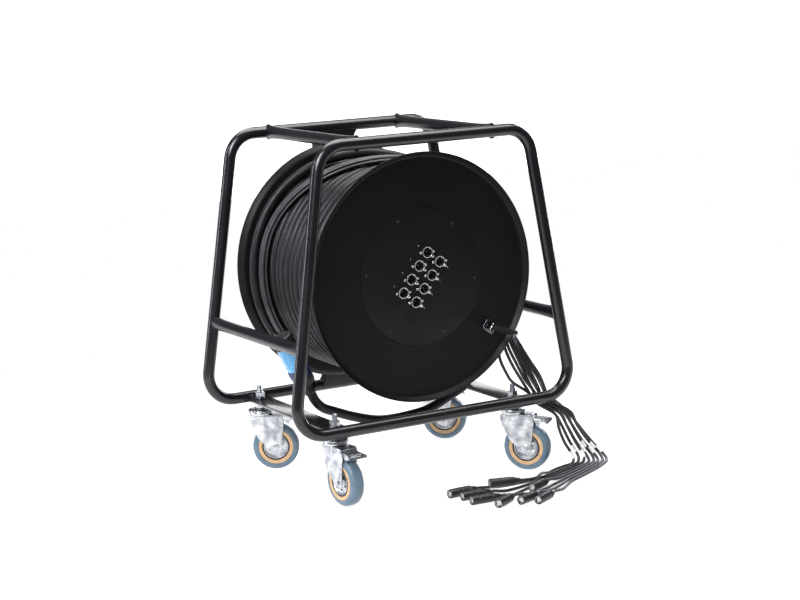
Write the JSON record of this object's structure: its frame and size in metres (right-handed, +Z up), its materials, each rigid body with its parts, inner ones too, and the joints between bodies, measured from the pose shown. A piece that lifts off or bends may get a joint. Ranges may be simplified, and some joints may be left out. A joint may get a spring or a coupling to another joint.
{
  "type": "network cable reel",
  "caption": "Black tube-frame reel on braked swivel casters, with a crank drum of network trunk cable, socket panel, plug and thin tails",
  "frame": {"origin": "on the floor under the middle of the reel, without its loose cords", "axes": "+X to the right as seen from the crank side, +Y to the rear, +Z up; the crank and the sockets face -Y"},
  "size_m": [0.7409, 0.6476, 0.7401],
  "materials": {
    "frame_coat": "gloss",
    "satin_coat": "satin",
    "panel_coat": "satin",
    "bare_steel": "brushed",
    "zinc": "bright",
    "chrome": "polished",
    "grey_rubber": "matte",
    "black_plastic": "matte",
    "cable_jacket": "satin",
    "blue_plastic": "gloss"
  },
  "bodies": {
    "root": {"front_loop": "frame_coat", "rear_loop": "frame_coat", "top_cross_tube_left": "frame_coat", "top_cross_tube_right": "frame_coat", "side_cross_tube_left": "frame_coat", "side_cross_tube_right": "frame_coat", "rear_upright": "frame_coat", "caster_bar_left": "satin_coat", "caster_bar_right": "satin_coat", "axle": "bare_steel", "trunk_tail": "cable_jacket", "plug_gland": "black_plastic", "plug_body": "blue_plastic", "plug_cap": "black_plastic", "tail_1": "cable_jacket", "tail_2": "cable_jacket", "tail_3": "cable_jacket", "tail_4": "cable_jacket", "tail_5": "cable_jacket", "tail_6": "cable_jacket", "tail_7": "cable_jacket", "tail_8": "cable_jacket", "connector_1": "black_plastic", "connector_2": "black_plastic", "connector_3": "black_plastic", "connector_4": "black_plastic", "connector_5": "black_plastic", "connector_6": "black_plastic", "connector_7": "black_plastic", "connector_8": "black_plastic", "caster_stem_front_left": "zinc", "caster_stem_rear_left": "zinc", "caster_stem_front_right": "zinc", "caster_stem_rear_right": "zinc"},
    "drum": {"front_flange": "satin_coat", "rear_flange": "satin_coat", "drum_barrel": "satin_coat", "bearing_hub": "bare_steel", "hub_panel": "panel_coat", "crank_bracket": "chrome", "inner_winding": "cable_jacket", "cable_winding": "cable_jacket"},
    "crank": {"crank_rod": "chrome"},
    "grip": {"crank_grip": "black_plastic"},
    "fork_front_left": {"caster_fork_front_left": "zinc"},
    "wheel_front_left": {"wheel_hub_front_left": "zinc", "tyre_front_left": "grey_rubber"},
    "pedal_front_left": {"brake_pedal_front_left": "zinc"},
    "fork_rear_left": {"caster_fork_rear_left": "zinc"},
    "wheel_rear_left": {"wheel_hub_rear_left": "zinc", "tyre_rear_left": "grey_rubber"},
    "pedal_rear_left": {"brake_pedal_rear_left": "zinc"},
    "fork_front_right": {"caster_fork_front_right": "zinc"},
    "wheel_front_right": {"wheel_hub_front_right": "zinc", "tyre_front_right": "grey_rubber"},
    "pedal_front_right": {"brake_pedal_front_right": "zinc"},
    "fork_rear_right": {"caster_fork_rear_right": "zinc"},
    "wheel_rear_right": {"wheel_hub_rear_right": "zinc", "tyre_rear_right": "grey_rubber"},
    "pedal_rear_right": {"brake_pedal_rear_right": "zinc"}
  },
  "joints": [
    {"name": "drum_spin", "type": "hinge", "parent": "root", "child": "drum", "pos_m": [0, 0.01815, 0.437], "axis": [0, -1, 0], "continuous": true},
    {"name": "crank_fold", "type": "hinge", "parent": "drum", "child": "crank", "pos_m": [0.16026, -0.15035, 0.31403], "axis": [-0.6088, 0, -0.7934], "range_deg": [0, 90]},
    {"name": "grip_spin", "type": "hinge", "parent": "crank", "child": "grip", "pos_m": [0.16026, -0.16035, 0.31403], "axis": [0, -1, 0], "continuous": true},
    {"name": "swivel_front_left", "type": "hinge", "parent": "root", "child": "fork_front_left", "pos_m": [-0.214, -0.13785, 0.125], "axis": [0, 0, 1], "continuous": true},
    {"name": "roll_front_left", "type": "hinge", "parent": "fork_front_left", "child": "wheel_front_left", "pos_m": [-0.21138, -0.16774, 0.05], "axis": [0.9962, 0.0872, 0], "continuous": true},
    {"name": "brake_front_left", "type": "hinge", "parent": "fork_front_left", "child": "pedal_front_left", "pos_m": [-0.21034, -0.17969, 0.1115], "axis": [0.9962, 0.0872, 0], "range_deg": [0, 22]},
    {"name": "swivel_rear_left", "type": "hinge", "parent": "root", "child": "fork_rear_left", "pos_m": [-0.214, 0.20065, 0.125], "axis": [0, 0, 1], "continuous": true},
    {"name": "roll_rear_left", "type": "hinge", "parent": "fork_rear_left", "child": "wheel_rear_left", "pos_m": [-0.18802, 0.18565, 0.05], "axis": [0.5, 0.866, 0], "continuous": true},
    {"name": "brake_rear_left", "type": "hinge", "parent": "fork_rear_left", "child": "pedal_rear_left", "pos_m": [-0.17763, 0.17965, 0.1115], "axis": [0.5, 0.866, 0], "range_deg": [0, 22]},
    {"name": "swivel_front_right", "type": "hinge", "parent": "root", "child": "fork_front_right", "pos_m": [0.214, -0.13785, 0.125], "axis": [0, 0, 1], "continuous": true},
    {"name": "roll_front_right", "type": "hinge", "parent": "fork_front_right", "child": "wheel_front_right", "pos_m": [0.23328, -0.16083, 0.05], "axis": [0.766, 0.6428, 0], "continuous": true},
    {"name": "brake_front_right", "type": "hinge", "parent": "fork_front_right", "child": "pedal_front_right", "pos_m": [0.241, -0.17002, 0.1115], "axis": [0.766, 0.6428, 0], "range_deg": [0, 22]},
    {"name": "swivel_rear_right", "type": "hinge", "parent": "root", "child": "fork_rear_right", "pos_m": [0.214, 0.20065, 0.125], "axis": [0, 0, 1], "continuous": true},
    {"name": "roll_rear_right", "type": "hinge", "parent": "fork_rear_right", "child": "wheel_rear_right", "pos_m": [0.23796, 0.1826, 0.05], "axis": [0.6018, 0.7986, 0], "continuous": true},
    {"name": "brake_rear_right", "type": "hinge", "parent": "fork_rear_right", "child": "pedal_rear_right", "pos_m": [0.24754, 0.17537, 0.1115], "axis": [0.6018, 0.7986, 0], "range_deg": [0, 22]}
  ]
}
